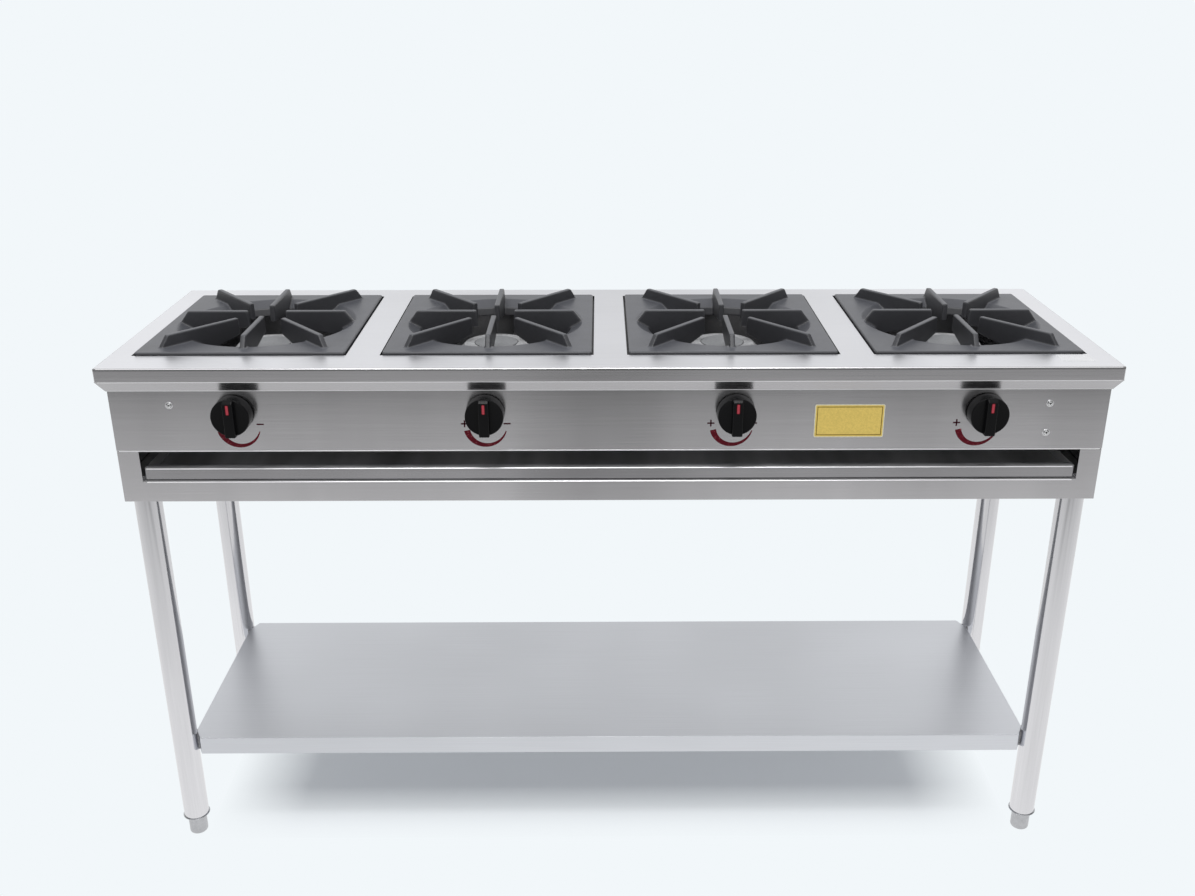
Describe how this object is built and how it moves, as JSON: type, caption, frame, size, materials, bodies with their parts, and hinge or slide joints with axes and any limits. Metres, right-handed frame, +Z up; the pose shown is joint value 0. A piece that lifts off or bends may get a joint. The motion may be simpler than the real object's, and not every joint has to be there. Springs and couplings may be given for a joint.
{
  "type": "gas cooktop",
  "caption": "Floor-standing stainless steel gas cooktop: a row of open burners under cast-iron grates, with control knobs, a pull-out drip tray and a lower shelf on round legs.",
  "frame": {"origin": "on the floor, under the middle of the worktop", "axes": "+X to the right along the worktop, +Y to the back, +Z up"},
  "size_m": [1.4, 0.4672, 0.8228],
  "materials": {
    "worktop_steel": "satin",
    "panel_steel": "brushed",
    "shelf_steel": "satin",
    "tube_steel": "polished",
    "foot_steel": "satin",
    "zinc_steel": "zinc plated",
    "pipe_steel": "zinc plated",
    "screw_steel": "polished",
    "brass": "machined",
    "knob_plastic": "gloss",
    "burner_iron": "as cast",
    "burner_alloy": "as cast",
    "grate_iron": "matt enamel"
  },
  "bodies": {
    "root": {"worktop": "worktop_steel", "control_panel": "panel_steel", "tray_frame": "panel_steel", "side_panel_left": "panel_steel", "side_panel_right": "panel_steel", "back_panel": "panel_steel", "burner_rail_front": "zinc_steel", "burner_rail_back": "zinc_steel", "tray_runner_left": "zinc_steel", "tray_runner_right": "zinc_steel", "shelf": "shelf_steel", "shelf_brace": "shelf_steel", "leg_sockets": "zinc_steel", "foot_bushes": "tube_steel", "gas_manifold": "pipe_steel", "gas_inlet": "pipe_steel", "manifold_brackets": "zinc_steel", "panel_screws": "screw_steel", "burner_screws": "screw_steel", "injectors": "brass", "leg_front_left": "tube_steel", "leg_front_right": "tube_steel", "leg_back_left": "tube_steel", "leg_back_right": "tube_steel", "tap_body_1": "brass", "tap_body_2": "brass", "tap_body_3": "brass", "tap_body_4": "brass", "burner_1": "burner_iron", "burner_2": "burner_iron", "burner_3": "burner_iron", "burner_4": "burner_iron"},
    "drip_tray": {"drip_tray": "panel_steel"},
    "tap_1": {"tap_plug_1": "brass"},
    "knob_1": {"tap_spindle_1": "screw_steel", "knob_1": "knob_plastic"},
    "grate_1": {"grate_1": "grate_iron"},
    "burner_cap_1": {"burner_cap_1": "burner_alloy"},
    "tap_2": {"tap_plug_2": "brass"},
    "knob_2": {"tap_spindle_2": "screw_steel", "knob_2": "knob_plastic"},
    "grate_2": {"grate_2": "grate_iron"},
    "burner_cap_2": {"burner_cap_2": "burner_alloy"},
    "tap_3": {"tap_plug_3": "brass"},
    "knob_3": {"tap_spindle_3": "screw_steel", "knob_3": "knob_plastic"},
    "grate_3": {"grate_3": "grate_iron"},
    "burner_cap_3": {"burner_cap_3": "burner_alloy"},
    "tap_4": {"tap_plug_4": "brass"},
    "knob_4": {"tap_spindle_4": "screw_steel", "knob_4": "knob_plastic"},
    "grate_4": {"grate_4": "grate_iron"},
    "burner_cap_4": {"burner_cap_4": "burner_alloy"},
    "foot_front_left": {"foot_front_left": "foot_steel"},
    "foot_front_right": {"foot_front_right": "foot_steel"},
    "foot_back_left": {"foot_back_left": "foot_steel"},
    "foot_back_right": {"foot_back_right": "foot_steel"}
  },
  "joints": [
    {"name": "drip_tray_slide", "type": "slide", "parent": "root", "child": "drip_tray", "axis": [0, -1, 0], "range_m": [0, 0.32]},
    {"name": "knob_1_turn", "type": "hinge", "parent": "root", "child": "tap_1", "pos_m": [-0.5187, -0.2, 0.735], "axis": [0, -1, 0], "range_deg": [0, 240]},
    {"name": "knob_1_push", "type": "slide", "parent": "tap_1", "child": "knob_1", "axis": [0, 1, 0], "range_m": [0, 0.003], "stiffness_N_per_m": 1500, "springref_m": -0.003},
    {"name": "grate_1_lift", "type": "slide", "parent": "root", "child": "grate_1", "axis": [0, 0, 1], "range_m": [0, 0.08]},
    {"name": "burner_cap_1_lift", "type": "slide", "parent": "root", "child": "burner_cap_1", "axis": [0, 0, 1], "range_m": [0, 0.015]},
    {"name": "knob_2_turn", "type": "hinge", "parent": "root", "child": "tap_2", "pos_m": [-0.1729, -0.2, 0.735], "axis": [0, -1, 0], "range_deg": [0, 240]},
    {"name": "knob_2_push", "type": "slide", "parent": "tap_2", "child": "knob_2", "axis": [0, 1, 0], "range_m": [0, 0.003], "stiffness_N_per_m": 1500, "springref_m": -0.003},
    {"name": "grate_2_lift", "type": "slide", "parent": "root", "child": "grate_2", "axis": [0, 0, 1], "range_m": [0, 0.08]},
    {"name": "burner_cap_2_lift", "type": "slide", "parent": "root", "child": "burner_cap_2", "axis": [0, 0, 1], "range_m": [0, 0.015]},
    {"name": "knob_3_turn", "type": "hinge", "parent": "root", "child": "tap_3", "pos_m": [0.1729, -0.2, 0.735], "axis": [0, -1, 0], "range_deg": [0, 240]},
    {"name": "knob_3_push", "type": "slide", "parent": "tap_3", "child": "knob_3", "axis": [0, 1, 0], "range_m": [0, 0.003], "stiffness_N_per_m": 1500, "springref_m": -0.003},
    {"name": "grate_3_lift", "type": "slide", "parent": "root", "child": "grate_3", "axis": [0, 0, 1], "range_m": [0, 0.08]},
    {"name": "burner_cap_3_lift", "type": "slide", "parent": "root", "child": "burner_cap_3", "axis": [0, 0, 1], "range_m": [0, 0.015]},
    {"name": "knob_4_turn", "type": "hinge", "parent": "root", "child": "tap_4", "pos_m": [0.5187, -0.2, 0.735], "axis": [0, -1, 0], "range_deg": [0, 240]},
    {"name": "knob_4_push", "type": "slide", "parent": "tap_4", "child": "knob_4", "axis": [0, 1, 0], "range_m": [0, 0.003], "stiffness_N_per_m": 1500, "springref_m": -0.003},
    {"name": "grate_4_lift", "type": "slide", "parent": "root", "child": "grate_4", "axis": [0, 0, 1], "range_m": [0, 0.08]},
    {"name": "burner_cap_4_lift", "type": "slide", "parent": "root", "child": "burner_cap_4", "axis": [0, 0, 1], "range_m": [0, 0.015]},
    {"name": "foot_front_left_height", "type": "slide", "parent": "root", "child": "foot_front_left", "axis": [0, 0, -1], "range_m": [0, 0.025]},
    {"name": "foot_front_right_height", "type": "slide", "parent": "root", "child": "foot_front_right", "axis": [0, 0, -1], "range_m": [0, 0.025]},
    {"name": "foot_back_left_height", "type": "slide", "parent": "root", "child": "foot_back_left", "axis": [0, 0, -1], "range_m": [0, 0.025]},
    {"name": "foot_back_right_height", "type": "slide", "parent": "root", "child": "foot_back_right", "axis": [0, 0, -1], "range_m": [0, 0.025]}
  ]
}
